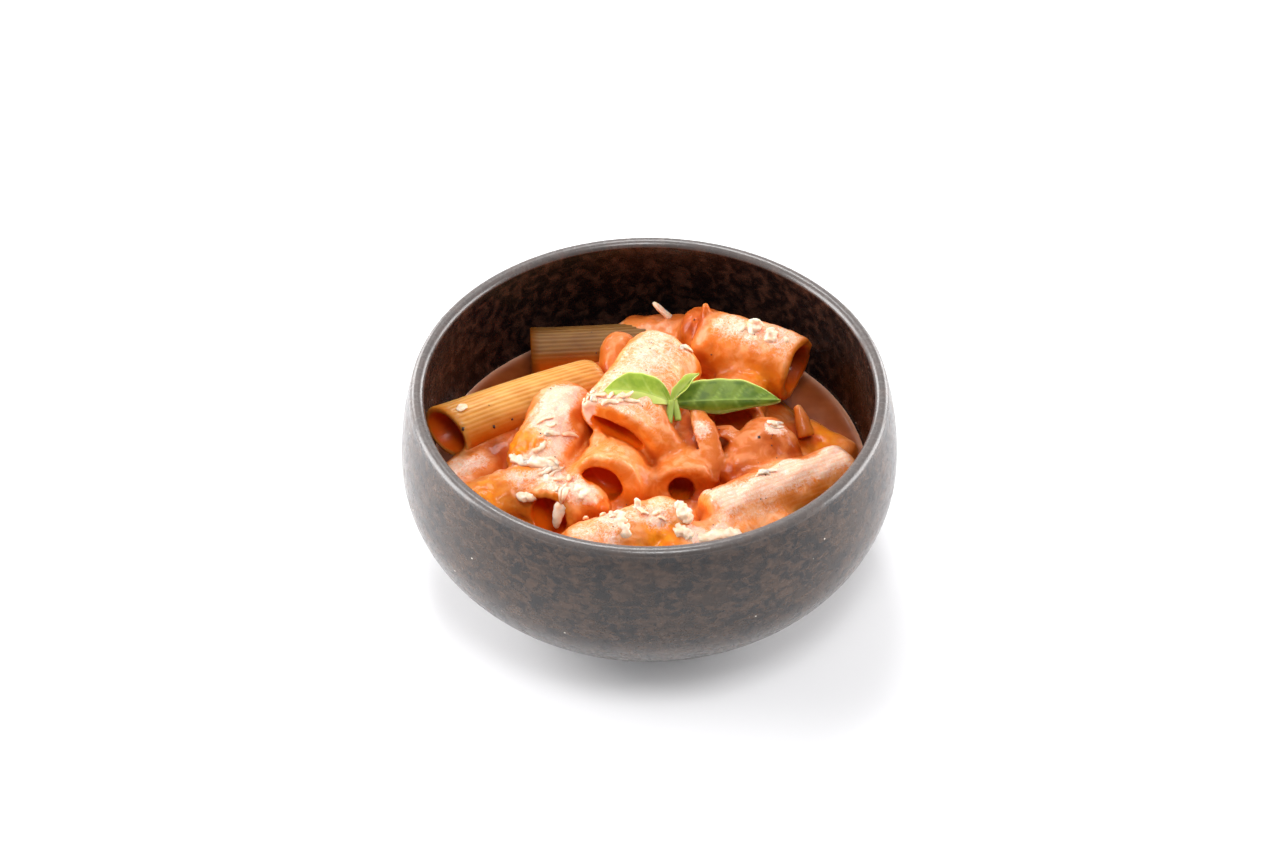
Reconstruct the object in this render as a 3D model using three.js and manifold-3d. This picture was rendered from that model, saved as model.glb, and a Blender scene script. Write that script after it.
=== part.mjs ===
// A stoneware bowl of rigatoni in pink sauce, with shredded cheese and a sprig of basil on top.
// Millimetres, +Z up. The origin is the centre of the foot ring, on the surface that the bowl stands on.
import * as THREE from 'three';
import { mergeVertices } from 'three/addons/utils/BufferGeometryUtils.js';
import Module from 'manifold-3d';

const wasm = await Module();
wasm.setup();

const GAP = 0.3; // clear space between two solids that touch
const UP = new THREE.Vector3(0, 0, 1);

// The bowl's wall lies between two ovals, each made of an upper and a lower half.
const BOWL_SEGMENTS = 56;
const RIM_HEIGHT = 75;
const LIP_HEIGHT = 2.2; // from where the wall ends up to the top of the rounded lip
const OUTER = { radius: 78.4, middle: 47.6, above: 84, below: 51.6 };
const INNER = { radius: 72.3, middle: 50, above: 96, below: 42 };
const FOOT = { outer: 37, inner: 32, height: 2.6, recess: 2.8, step: 0.4 };
const LOWER_STEPS = 7;
const SHOULDER_HEIGHT = 61; // where the outer wall has a step between its belly and the lip
const LIP_ANGLES = [30, 70, 110, 150];
const HEADROOM = 30; // how far above the rim the food may reach

const SAUCE_LEVEL = 39;
const CORE_SEGMENTS = 24;
const CORE_CENTRE = [-2, -7];

// Cooked rigatoni.
const NOODLE_SIDES = 14;
const BENT_STEPS = 4;
const NOODLE_WALL = 2.2;
const BORE_DEPTH = 22;
const LONGEST_BORE = 0.45; // as a part of the length
const BORE_TAPER = 0.8;
const END_ROUNDNESS = 0.07; // how far a closed end bulges, as a part of the length
const END_TAPER = 0.55;
const RIBS = 17;
const RIB_DEPTH = 0.45;

const SHRED_WIDTH = 2.6;
const SHRED_THICKNESS = 1.3;
const SHRED_TAPER = 0.6;
const SHRED_REST = 0.2; // how far a shred's middle lies above the pasta
const SCATTERED = { count: 6, radius: 56, middle: [0, -5], shortest: 5, longest: 9, lowest: 47 };
const SHRED_STEEPEST = 2.5; // the most that one end of a scattered shred lies above the other

const LEAF_THICKNESS = 0.8;
const LEAF_REST = 0.4; // clear height of the sprig above the pasta
const RUFFLE = { height: 0.5, waves: 17 };

const point = (values) => new THREE.Vector3(...values);
const radians = THREE.MathUtils.degToRad;

// A seeded random number from 0 to 1 at each call.
function randomFrom(seed) {
  let state = seed;
  return () => {
    state = (state * 1664525 + 1013904223) % 4294967296;
    return state / 4294967296;
  };
}

// Turns a closed three.js geometry into a solid, facing out whichever way its faces were wound.
function solidOf(geometry) {
  const bare = geometry.clone();
  bare.deleteAttribute('normal');
  bare.deleteAttribute('uv');
  const merged = mergeVertices(bare, 1e-4);
  const vertProperties = new Float32Array(merged.attributes.position.array);
  const triVerts = new Uint32Array(merged.index.array);
  const made = new wasm.Manifold(new wasm.Mesh({ numProp: 3, vertProperties, triVerts }));
  if (made.volume() >= 0) return made;
  for (let i = 0; i < triVerts.length; i += 3) {
    [triVerts[i + 1], triVerts[i + 2]] = [triVerts[i + 2], triVerts[i + 1]];
  }
  return new wasm.Manifold(new wasm.Mesh({ numProp: 3, vertProperties, triVerts }));
}

function geometryOf(solid) {
  const mesh = solid.getMesh();
  const geometry = new THREE.BufferGeometry();
  geometry.setAttribute('position', new THREE.BufferAttribute(mesh.vertProperties, 3));
  geometry.setIndex(new THREE.BufferAttribute(mesh.triVerts, 1));
  geometry.computeVertexNormals();
  return geometry;
}

// Joins solids, keeps the largest body, and fills any hollow that the joining sealed.
function fused(solids) {
  const whole = solids.reduce((sum, solid) => sum.add(solid));
  const bodies = whole.decompose();
  return bodies.reduce((best, body) => (body.volume() > best.volume() ? body : best));
}

// A profile of [radius, height] pairs turned about the vertical axis.
function turned(profile, segments) {
  const points = profile.map(([radius, height]) => new THREE.Vector2(radius, height));
  const lathe = new THREE.LatheGeometry(points, segments);
  lathe.rotateX(Math.PI / 2);
  return lathe;
}

// A closed solid through rings of equally many points, with a middle point closing each end.
function chained(rings, firstMiddle, lastMiddle) {
  const sides = rings[0].length;
  const positions = [firstMiddle, ...rings.flat(), lastMiddle].flatMap((p) => [p.x, p.y, p.z]);
  const faces = [];
  const vertex = (ring, side) => 1 + ring * sides + (side % sides);
  for (let side = 0; side < sides; side += 1) {
    faces.push(0, vertex(0, side + 1), vertex(0, side));
    for (let ring = 0; ring + 1 < rings.length; ring += 1) {
      const [a, b] = [vertex(ring, side), vertex(ring, side + 1)];
      const [c, d] = [vertex(ring + 1, side), vertex(ring + 1, side + 1)];
      faces.push(a, b, d, a, d, c);
    }
    const last = rings.length - 1;
    faces.push(1 + rings.length * sides, vertex(last, side), vertex(last, side + 1));
  }
  const geometry = new THREE.BufferGeometry();
  geometry.setAttribute('position', new THREE.Float32BufferAttribute(positions, 3));
  geometry.setIndex(faces);
  return solidOf(geometry);
}

// An oval's radius at a height.
function ovalRadius(oval, height) {
  const reach = height > oval.middle ? oval.above : oval.below;
  return oval.radius * Math.sqrt(1 - ((height - oval.middle) / reach) ** 2);
}

// The inner wall from the floor's centre up, drawn in by a clear space.
function innerWall(inset) {
  const points = [];
  for (let step = 0; step <= LOWER_STEPS; step += 1) {
    const turn = (step / LOWER_STEPS) * (Math.PI / 2);
    const radius = (INNER.radius - inset) * Math.sin(turn);
    points.push([radius, INNER.middle - (INNER.below - inset) * Math.cos(turn)]);
  }
  const wallTop = RIM_HEIGHT - LIP_HEIGHT;
  for (const height of [(INNER.middle + wallTop) / 2, wallTop]) {
    points.push([ovalRadius(INNER, height) - inset, height]);
  }
  return points;
}

function bowlProfile() {
  const wallTop = RIM_HEIGHT - LIP_HEIGHT;
  const outside = [];
  const firstTurn = Math.asin((OUTER.middle - FOOT.height - FOOT.step) / OUTER.below);
  for (let step = 0; step <= LOWER_STEPS; step += 1) {
    const turn = firstTurn * (1 - step / LOWER_STEPS);
    outside.push([OUTER.radius * Math.cos(turn), OUTER.middle - OUTER.below * Math.sin(turn)]);
  }
  for (const height of [SHOULDER_HEIGHT, wallTop]) outside.push([ovalRadius(OUTER, height), height]);
  const [innerEdge, outerEdge] = [ovalRadius(INNER, wallTop), ovalRadius(OUTER, wallTop)];
  const [lipMiddle, lipReach] = [(innerEdge + outerEdge) / 2, (outerEdge - innerEdge) / 2];
  const lip = LIP_ANGLES.map((angle) => [
    lipMiddle + lipReach * Math.cos(radians(angle)),
    wallTop + LIP_HEIGHT * Math.sin(radians(angle)),
  ]);
  lip.splice(LIP_ANGLES.length / 2, 0, [lipMiddle, RIM_HEIGHT]);
  return [
    [0, FOOT.recess],
    [FOOT.inner, FOOT.recess],
    [FOOT.inner, 0],
    [FOOT.outer, 0],
    [FOOT.outer, FOOT.height],
    ...outside,
    ...lip,
    ...innerWall(0).reverse(),
  ];
}

// The space inside the bowl that the food may take, open upwards.
function room() {
  const wall = innerWall(GAP);
  const [topRadius] = wall[wall.length - 1];
  const top = RIM_HEIGHT + HEADROOM;
  return solidOf(turned([...wall, [topRadius, top], [0, top]], BOWL_SEGMENTS));
}

// The packed middle of the heap, which the visible pieces lie on: its underside, then its top.
const CORE_UNDERSIDE = [[0, 6], [30, 8], [48, 18], [57, 33]];
const CORE_TOP = [[59, 41], [54, 46], [43, 51], [27, 54], [0, 55]];

// Grown by a clear space on all sides, and a little more outwards because the sides slant.
function heapCore(grow) {
  const widened = (radius) => (radius === 0 ? 0 : radius + 1.2 * grow);
  const profile = [
    ...CORE_UNDERSIDE.map(([radius, height]) => [widened(radius), height - grow]),
    ...CORE_TOP.map(([radius, height]) => [widened(radius), height + grow]),
  ];
  const core = turned(profile, CORE_SEGMENTS);
  core.translate(...CORE_CENTRE, 0);
  return solidOf(core);
}

// Sections along a bent axis: each has a middle and two half-axis directions across it.
function sections({ from, to, rise = 0, twist = 0 }, places) {
  const [start, end] = [point(from), point(to)];
  const control = start.clone().add(end).multiplyScalar(0.5).addScaledVector(UP, 2 * rise);
  const axis = new THREE.QuadraticBezierCurve3(start, control, end);
  return places.map((place) => {
    const middle = axis.getPoint(THREE.MathUtils.clamp(place, 0, 1));
    const along = axis.getTangent(THREE.MathUtils.clamp(place, 0, 1));
    const past = place < 0 ? place : Math.max(0, place - 1);
    middle.addScaledVector(along, past * start.distanceTo(end));
    const across = new THREE.Vector3().crossVectors(along, UP).normalize();
    const above = new THREE.Vector3().crossVectors(across, along);
    across.applyAxisAngle(along, radians(twist));
    above.applyAxisAngle(along, radians(twist));
    return { middle, across, above };
  });
}

function ringAt({ middle, across, above }, halfWidth, halfHeight, sides, ribDepth = 0) {
  return Array.from({ length: sides }, (_, side) => {
    const turn = (side / sides) * 2 * Math.PI;
    const dip = side % 2 ? ribDepth : 0;
    return middle
      .clone()
      .addScaledVector(across, (halfWidth - dip) * Math.cos(turn))
      .addScaledVector(above, (halfHeight - dip) * Math.sin(turn));
  });
}

// One rigatoni, through rings of [place along the axis, scale, inset, rib depth]. An open end gets a
// blind bore, and a closed end, filled and coated with sauce, is rounded.
function rigatoni(noodle, grow = 0) {
  const { width, height, widthTo = width, heightTo = height } = noodle;
  const { ribbed = false, openFrom = false, openTo = false } = noodle;
  const length = point(noodle.from).distanceTo(point(noodle.to));
  const spread = grow / length;
  const steps = noodle.rise ? BENT_STEPS : 1;
  const sides = ribbed ? 2 * RIBS : NOODLE_SIDES;
  const ribDepth = ribbed && !grow ? RIB_DEPTH : 0;

  // The rings of an end, from the bottom of the bore or the tip of the rounding to the skin.
  function end(open, place, inward) {
    if (!open) return [[place - inward * (END_ROUNDNESS + spread), END_TAPER, 0, 0]];
    if (grow) return [];
    const depth = Math.min(BORE_DEPTH / length, LONGEST_BORE);
    return [
      [place + inward * depth, BORE_TAPER, NOODLE_WALL, 0],
      [place, 1, NOODLE_WALL, 0],
    ];
  }

  const skin = Array.from({ length: steps + 1 }, (_, step) => {
    const place = (step / steps) * (1 + 2 * spread) - spread;
    return [place, 1, 0, ribDepth];
  });
  const drawn = [...end(openFrom, 0, 1), ...skin, ...end(openTo, 1, -1).reverse()];
  const through = sections(noodle, drawn.map(([place]) => place));
  const rings = drawn.map(([place, scale, inset, depth], index) => {
    const share = THREE.MathUtils.clamp(place, 0, 1);
    const halfWidth = THREE.MathUtils.lerp(width, widthTo, share) / 2 + grow;
    const halfHeight = THREE.MathUtils.lerp(height, heightTo, share) / 2 + grow;
    return ringAt(through[index], halfWidth * scale - inset, halfHeight * scale - inset, sides, depth);
  });
  return chained(rings, through[0].middle, through[through.length - 1].middle);
}

// Each piece runs from its near end to its far end, given by the middle of the tube there.
const NOODLES = [
  // On the left, against the wall: a bare one with clear ribs, and the coated ones beside it.
  { from: [-64, -3, 57.5], to: [-17, 22, 56], width: 17.5, height: 17, rise: 1, ribbed: true, openFrom: true },
  { from: [-63, -21, 46], to: [-38, 4, 48], width: 17, height: 16 },
  { from: [-35, -19, 57], to: [-24, 10, 58], width: 20, height: 16, rise: 1 },
  { from: [-57, -32, 51], to: [-28, -22, 56], width: 17, height: 15 },
  // At the front, close behind the rim.
  { from: [-30, -38, 55], to: [-16, -12, 50], width: 17, height: 16, twist: -25, openFrom: true },
  { from: [-20, -39, 56], to: [-19, -17, 50], width: 14, height: 17 },
  { from: [-22, -58, 56], to: [8, -44, 57], width: 18, height: 19 },
  { from: [4, -56, 54], to: [42, -41, 50], width: 17, height: 17 },
  { from: [19, -41, 56], to: [61, -17, 54], width: 17.5, height: 18, rise: 1, ribbed: true, openFrom: true },
  // In the middle: a wide flattened one on top, and two that open towards the front below it.
  {
    from: [-9, -11, 66.5], to: [6, 26, 65], width: 26, height: 12, widthTo: 23, heightTo: 15,
    rise: 1, twist: 18, openFrom: true,
  },
  { from: [-13, -29.5, 60], to: [-1, 23, 42], width: 20, height: 17, twist: 15, openFrom: true },
  { from: [10.5, -26.5, 55], to: [9, 18, 50], width: 17.5, height: 15.5, twist: -8, openFrom: true },
  // On the right.
  { from: [23, -25, 52], to: [40, -6, 58], width: 20, height: 18 },
  { from: [26.5, 2.5, 58], to: [33, 48, 48], width: 17, height: 15, openFrom: true },
  { from: [48, 14, 40], to: [63, 3, 38], width: 15, height: 16 },
  // At the back.
  { from: [18, 38.5, 60], to: [48, 27, 58], width: 19.5, height: 19.5, rise: 1, openTo: true },
  { from: [13, 47, 57], to: [38, 40, 54], width: 16, height: 16 },
  { from: [-10, 23, 50], to: [-10, 40, 58], width: 10.5, height: 11 },
  { from: [-8, 56, 44], to: [17, 51, 47], width: 17, height: 16, rise: 1.5 },
  { from: [-39, 48, 46], to: [13, 51, 47], width: 17, height: 17, openFrom: true },
];

// A torn strip of pasta, as a flat tapering band through [x, y, z, width] stations.
function band(stations, thickness, sides = 8) {
  const middles = stations.map(([x, y, z]) => new THREE.Vector3(x, y, z));
  const rings = stations.map(([, , , width], index) => {
    const before = middles[Math.max(0, index - 1)];
    const after = middles[Math.min(middles.length - 1, index + 1)];
    const along = after.clone().sub(before).normalize();
    const across = new THREE.Vector3().crossVectors(along, UP).normalize();
    const above = new THREE.Vector3().crossVectors(across, along);
    return ringAt({ middle: middles[index], across, above }, width / 2, thickness / 2, sides);
  });
  return chained(rings, middles[0], middles[middles.length - 1]);
}

const TORN_PIECES = [
  // The leaf-shaped strip right of the middle, and the curled flap beside it.
  { stations: [[14, 3, 64, 4], [17, -6, 62.5, 9], [19.5, -14, 59, 8], [21, -23, 55, 2]], thickness: 2.6 },
  { stations: [[20, -5, 61, 3], [24, -8, 63, 7], [29, -12, 62, 4]], thickness: 2.4 },
  // A spike at the back, a small corner on the right, and a tongue at the mouth of the top piece.
  { stations: [[19, 37, 62, 7], [18.5, 40.5, 68, 5], [18, 43, 72, 2]], thickness: 4 },
  { stations: [[50, 5, 49, 6], [48.5, 9, 52.5, 5], [47, 12.5, 55, 2.4]], thickness: 4 },
  { stations: [[-17, -14, 61, 8], [-13, -12, 63.5, 11], [-8, -11, 61, 8]], thickness: 5 },
  // A pale shred that stands up at the back.
  { stations: [[11, 55, 50, 3.4], [6, 56, 56, 3.4], [1, 56, 61.5, 3.2]], thickness: 1.6 },
];

// Shreds of cheese in the clumps that stand out: [x, y, heading in degrees, length].
const PLACED_SHREDS = [
  [-20, -2, 60, 9],
  [-20, -9, 95, 9],
  [-15, -4, 10, 9],
  [-6, -6, -15, 10],
  [-41, -26, 20, 9],
  [-35, -25, 5, 8],
  [-37, -35, -10, 8],
  [-30, -30, 40, 7],
  [-25, -42, 80, 8],
  [9, -45, -60, 7],
  [7, -43, -20, 6],
  [9, -51, 10, 7],
  [13, -52, -10, 6],
  [38, -26, 15, 10],
  [36, -11, 20, 8],
  [41, -9, -25, 7],
  [32, 33, 20, 6],
  [36, 32, 80, 5],
  [39, 30, -60, 6],
  [-58, 0, 50, 5],
];

// The three stations of a shred that lies on the surface below it.
function shredStations(heightAt, [x, y, heading, length]) {
  return [-1, 0, 1].map((side) => {
    const reach = (side * length) / 2;
    const [px, py] = [x + reach * Math.cos(radians(heading)), y + reach * Math.sin(radians(heading))];
    const level = (heightAt(px, py) ?? SAUCE_LEVEL) + SHRED_REST;
    return [px, py, level, SHRED_WIDTH * (side ? SHRED_TAPER : 1)];
  });
}

// Looks straight down on a solid: gives the height of its top at x, y, or null beside it.
function topOf(solid) {
  const mesh = new THREE.Mesh(geometryOf(solid), new THREE.MeshBasicMaterial({ side: THREE.DoubleSide }));
  const caster = new THREE.Raycaster();
  const down = new THREE.Vector3(0, 0, -1);
  return (x, y) => {
    caster.set(new THREE.Vector3(x, y, 200), down);
    const [hit] = caster.intersectObject(mesh);
    return hit ? hit.point.z : null;
  };
}

function pastaHeap(space) {
  const pieces = NOODLES.map((noodle) => rigatoni(noodle));
  const torn = TORN_PIECES.map(({ stations, thickness }) => band(stations, thickness));
  const bare = fused([heapCore(0), ...pieces, ...torn]);
  const heightAt = topOf(bare);
  const random = randomFrom(7);
  const laid = PLACED_SHREDS.map((place) => shredStations(heightAt, place));
  const { count, radius, middle, shortest, longest, lowest } = SCATTERED;
  while (laid.length < PLACED_SHREDS.length + count) {
    const [reach, turn] = [radius * Math.sqrt(random()), 2 * Math.PI * random()];
    const [x, y] = [middle[0] + reach * Math.cos(turn), middle[1] + reach * Math.sin(turn)];
    const heading = 180 * random();
    const length = THREE.MathUtils.lerp(shortest, longest, random());
    const stations = shredStations(heightAt, [x, y, heading, length]);
    const heights = stations.map((station) => station[2]);
    const flat = Math.max(...heights) - Math.min(...heights) < SHRED_STEEPEST;
    if (flat && heights[1] > lowest) laid.push(stations);
  }
  const shreds = laid.map((stations) => band(stations, SHRED_THICKNESS, 4));
  return fused([bare, ...shreds]).intersect(space);
}

function saucePool(space) {
  const grownHeap = fused([heapCore(GAP), ...NOODLES.map((noodle) => rigatoni(noodle, GAP))]);
  const below = new THREE.BoxGeometry(2 * OUTER.radius, 2 * OUTER.radius, SAUCE_LEVEL);
  below.translate(0, 0, SAUCE_LEVEL / 2);
  return fused([space.intersect(solidOf(below)).subtract(grownHeap)]);
}

// A basil leaf: a thin wavy solid that folds along its midrib. The halves on the left and the right
// of the way from base to tip each have a width and a slope, and both faces are split alike.
function leaf({ base, tip, rise, left, right, steps = 7, halfSteps = 2 }) {
  const places = Array.from({ length: steps + 1 }, (_, step) => step / steps);
  const ribs = sections({ from: base, to: tip, rise }, places);
  const ruffle = (place) => RUFFLE.height * Math.sin(place * RUFFLE.waves);
  const rings = ribs.map(({ middle, across, above }, index) => {
    const outline = Math.max(0.08, Math.sin(Math.PI * places[index] ** 0.8) ** 0.75);
    const surface = [];
    for (let step = -halfSteps; step <= halfSteps; step += 1) {
      const half = step < 0 ? right : left;
      const part = Math.abs(step) / halfSteps;
      const out = half.width * outline * part;
      const slope = radians(half.slope) * (0.5 + 0.5 * part);
      const lift = out * Math.sin(slope) + part ** 2 * ruffle(places[index]);
      const side = Math.sign(step) * out * Math.cos(slope);
      surface.push(middle.clone().addScaledVector(across, -side).addScaledVector(above, lift));
    }
    const under = surface.map((p) => p.clone().addScaledVector(above, -LEAF_THICKNESS)).reverse();
    return [...surface, ...under];
  });
  const [first, last] = [ribs[0], ribs[steps]].map(({ middle, above }) =>
    middle.clone().addScaledVector(above, -LEAF_THICKNESS / 2));
  return chained(rings, first, last);
}

const SPRIG_JOINT = [7, -2, 68.5];
const LEAVES = [
  { tip: [-14.5, -2.5, 73.5], rise: 2.5, left: { width: 3.5, slope: -20 }, right: { width: 7, slope: 20 } },
  { tip: [41, -0.5, 68.5], rise: 0.5, left: { width: 9, slope: 10 }, right: { width: 5, slope: -75 } },
  { tip: [15.5, 7, 73], rise: 0.5, left: { width: 3, slope: 50 }, right: { width: 3, slope: 50 }, steps: 4 },
];
const STEMS = [
  [[7, -2, 69, 2.6], [6.3, -5.5, 67, 2.4], [6, -8, 65.2, 2.2]],
  [[7.4, -1.5, 69, 2.6], [8.6, -5, 66.8, 2.2], [9, -7, 65.4, 2]],
];

// The sprig, lowered until it all but lies on the pasta.
function basilSprig(heap) {
  const leaves = LEAVES.map((shape) => leaf({ base: SPRIG_JOINT, ...shape }));
  const stems = STEMS.map((stations) => band(stations, 2.2, 6));
  const sprig = fused([...leaves, ...stems]);
  const heightAt = topOf(heap);
  const vertices = geometryOf(sprig).attributes.position;
  let clear = Infinity;
  for (let i = 0; i < vertices.count; i += 1) {
    const below = heightAt(vertices.getX(i), vertices.getY(i));
    if (below !== null) clear = Math.min(clear, vertices.getZ(i) - below);
  }
  return sprig.translate([0, 0, LEAF_REST - clear]);
}

// One named mesh in the colour, roughness and metalness of its material.
function meshOf(name, solid, color, roughness) {
  const material = new THREE.MeshStandardMaterial({ color, roughness, metalness: 0 });
  const mesh = new THREE.Mesh(geometryOf(solid), material);
  mesh.name = name;
  return mesh;
}

const space = room();
const heap = pastaHeap(space);
const group = new THREE.Group();
group.add(
  meshOf('bowl', solidOf(turned(bowlProfile(), BOWL_SEGMENTS)), 0x3b332f, 0.35),
  meshOf('pasta_heap', heap, 0xe07f4b, 0.5),
  meshOf('sauce', saucePool(space), 0xb5623f, 0.3),
  meshOf('basil_sprig', basilSprig(heap), 0x7fa83f, 0.45),
);

export default group;
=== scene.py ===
import itertools
import math

import bpy
import numpy as np
import openvdb
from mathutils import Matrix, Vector, noise
from mathutils.bvhtree import BVHTree


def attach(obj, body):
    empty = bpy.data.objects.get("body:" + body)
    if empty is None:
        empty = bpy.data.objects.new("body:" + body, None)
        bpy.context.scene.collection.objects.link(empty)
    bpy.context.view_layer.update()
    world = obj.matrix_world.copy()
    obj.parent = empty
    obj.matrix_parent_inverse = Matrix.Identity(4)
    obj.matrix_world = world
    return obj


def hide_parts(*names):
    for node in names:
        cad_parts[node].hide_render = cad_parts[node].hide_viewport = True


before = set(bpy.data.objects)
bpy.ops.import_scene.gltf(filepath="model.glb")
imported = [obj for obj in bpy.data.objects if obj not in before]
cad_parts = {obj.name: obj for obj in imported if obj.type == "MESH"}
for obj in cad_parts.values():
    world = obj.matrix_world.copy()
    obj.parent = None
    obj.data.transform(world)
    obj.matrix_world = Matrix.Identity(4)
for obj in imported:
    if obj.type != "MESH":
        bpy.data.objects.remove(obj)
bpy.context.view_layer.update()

# A stoneware bowl of rigatoni in pink sauce, with shredded cheese and a sprig of basil.
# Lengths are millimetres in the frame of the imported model; make_piece turns them into metres.
MM = 0.001
UP = np.array([0.0, 0.0, 1.0])

# The bowl's wall lies between two ovals, each made of an upper and a lower half.
RIM_HEIGHT = 75
LIP_HEIGHT = 2.2
WALL_TOP = RIM_HEIGHT - LIP_HEIGHT
OUTER = dict(radius=78.4, middle=47.6, above=84, below=51.6)
INNER = dict(radius=72.3, middle=50, above=96, below=42)
FOOT = dict(outer=37, inner=32, height=2.6, recess=2.8)

SAUCE_LEVEL = 39
POOL_UNDERSIDE = [(69, 38), (66, 33), (58, 25), (46, 18), (30, 13.5), (0.01, 12.5)]  # (radius, height)

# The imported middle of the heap, all (radius, height): its top, and the shell that closes it below.
CORE_CENTRE = (-2, -7, 0)
CORE_TOP = [(0, 55), (27, 54), (43, 51), (54, 46), (59, 41)]
CORE_SHELL = [(0, 6), (30, 8), (48, 18), (57, 33), (59, 41), (50, 42), (0, 44)]
CORE_ROUNDING = 3

# Cooked rigatoni.
NOODLE_WALL = 2.2
BORE_DEPTH = 22
LONGEST_BORE = 0.45  # as a share of the length
RIBS = 36
POINTS_PER_RIB = 4
RIB_DEPTH = 0.16
FLARE = 0.05  # how much wider an open end is
FLARE_LENGTH = 4
CUT_EDGE = 0.8  # the rounding of an open end
END_ROUNDING = 5
END_BULGE = 2
SLANT_LENGTH = 9  # how far in a slanted cut has faded out

# The sauce over them, and its fillets where they meet.
COAT = 0.8
BARE = -0.7  # a bare piece's sauce lies this far below its skin
BORE_COAT = 0.4
BARE_BORE = -0.5  # and this far outside its hollow
TORN_COAT = 0.2
TORN_EDGE = 0.6
NOODLE_FILLET = 3.2
TORN_FILLET = 1.2
GOB_FILLET = 4
MOUTH_EDGE = 1.0
BORE_ROUNDING = 3
RIB_PITCH = 1.5  # of ribs that show through the sauce

# Gaps to the bowl's wall.
COAT_GAP = 0.35
PASTA_GAP = 0.4
POOL_GAP = 0.3

# Torn strips of pasta: the thickness and the (x, y, z, width) stations of each.
TORN_PIECES = [
    (2.4, [(14, 0, 66.5, 4), (17, -9, 65.3, 8), (19.5, -17, 62, 7.5), (21, -26, 57.5, 1.6)]),
    (2.4, [(20, -5, 61, 3), (24, -8, 63, 7), (29, -12, 62, 4)]),
    (4, [(19, 37, 62, 7), (18.5, 40.5, 68, 5), (18, 43, 72, 2)]),
    (4, [(50, 5, 49, 6), (48.5, 9, 52.5, 5), (47, 12.5, 55, 2.4)]),
    (5, [(-17, -14, 61, 8), (-13, -12, 63.5, 11), (-8, -11, 61, 8)]),
]

# Gobs of sauce that sit beside the mouths of the middle pieces: (x, y, z, radius).
GOBS = [(-2.5, -26, 57, 4.5), (-1, -24, 52, 5), (5, -12, 63, 4), (17, -25, 50, 4)]

# Flat shreds of cheese that stand up at the back, hang over a mouth and lie at the left, in the same way.
FLAT_SHREDS = [
    (1.5, [(11, 55, 50, 3.4), (6, 56, 56, 3.4), (1, 56, 61.5, 3.2)]),
    (1.7, [(-25, -37, 62.5, 3.5), (-27, -39.5, 60.5, 4.2), (-28, -41.5, 57, 3.4), (-28.5, -42, 53.5, 2.2)]),
    (0.8, [(-60, -2.5, 66.3, 2.4), (-58.6, -1.2, 66.7, 3.2), (-57, -0.4, 66.5, 2)]),
]

# Thicker lumps of half melted cheese.
CHEESE_LUMPS = [
    (2.8, [(-43.5, -16, 60, 3), (-40, -19.5, 61.2, 5), (-36, -22, 62.6, 5), (-31.5, -23, 63, 4),
           (-27.5, -24, 62.2, 3)]),
    (2, [(-41, -32.5, 58.4, 2.4), (-37.5, -33.8, 59.2, 4.2), (-34, -34.8, 59.6, 2.8)]),
    (2.2, [(-33, -27, 61.8, 3), (-30.5, -30, 61.8, 4), (-28.5, -33, 62, 2.5)]),
    (2.2, [(-24.5, -32, 61.8, 3.5), (-21, -35, 63.2, 5.5), (-18.5, -38.5, 63, 4.5)]),
    (2.2, [(-9.5, -46.5, 65, 3), (-8.5, -50.5, 66.3, 4), (-7.5, -54.5, 66, 3.5), (-7, -57.5, 64.2, 4)]),
    (1.6, [(-3, -46.5, 65.6, 3), (-3.5, -45, 67.2, 2.2), (-4, -44, 68.4, 1.2)]),
    (3.4, [(7.5, -44.5, 66, 4.5), (10, -47, 65.8, 5.5), (12.5, -50, 63.6, 4)]),
    (3, [(7, -51.5, 63.2, 3.5), (10, -53, 63, 4.5), (13, -54.8, 62, 3.5)]),
    (2.2, [(14, -55, 61.6, 3.5), (20, -53, 61.2, 4.5), (28, -50.5, 60.4, 4)]),
    (3, [(32, 31, 69, 3.5), (33.8, 33, 71.3, 4.2), (34.3, 34.6, 73, 3)]),
    (2.8, [(38.3, 27.5, 68.6, 4), (38.8, 30, 70.2, 4.4), (38.2, 31.8, 71.4, 2.8)]),
    (1.6, [(43.2, 27.5, 68.2, 2), (43.4, 28.5, 69, 2.2), (43.4, 29.5, 69.4, 1.6)]),
    (1.8, [(28, 32, 69.8, 2.2), (29.5, 32.5, 70.3, 2.8), (31, 33, 70.3, 2.2)]),
]

# Where the sauce is thin and clear: (x, y, z, radius, how strongly from 0 to 1).
THIN_PATCHES = [
    (-39, -17, 62, 11, 1), (-50, -32, 57, 11, 1), (55, 7, 45, 9, 1), (34, 20, 57, 9, 1), (3, -55, 62, 9, 1),
    (9, -31, 62, 5, 0.6),
]

# Where it is browner: partly browner sauce, partly painted shade where pieces lie in shade.
BROWN_AND_SHADE_PATCHES = [
    (15, 40, 66, 10, 1), (26, -26, 58, 14, 1), (37, -14, 62, 9, 1), (47, -16, 60, 9, 1), (14, -28, 56, 8, 1),
    (-4, -30, 54, 6, 1), (7, -10, 65, 8, 0.5), (-1, -26, 58, 7, 0.6), (-47, -9, 55, 6, 1),
    (-9, -30, 52, 6, 0.8), (49.5, 31, 57, 9, 1),
]

# Where it is paler: partly cheese melted into it, partly painted light.
PALE_AND_LIT_PATCHES = [
    (16, -10, 64, 7, 0.7), (25, -10, 64, 4, 0.5), (39, -10, 67, 5, 0.9), (-14, -4, 72, 9, 0.5),
    (-31, -10, 65, 8, 0.6), (-29, -28, 61, 6, 0.6), (-35, -37, 58, 4, 0.9), (-18, -39, 62, 5, 0.7),
    (14, -53, 62, 6, 0.9), (22, -51, 60, 6, 0.9), (-12, -57, 63, 7, 0.6),
]

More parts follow.
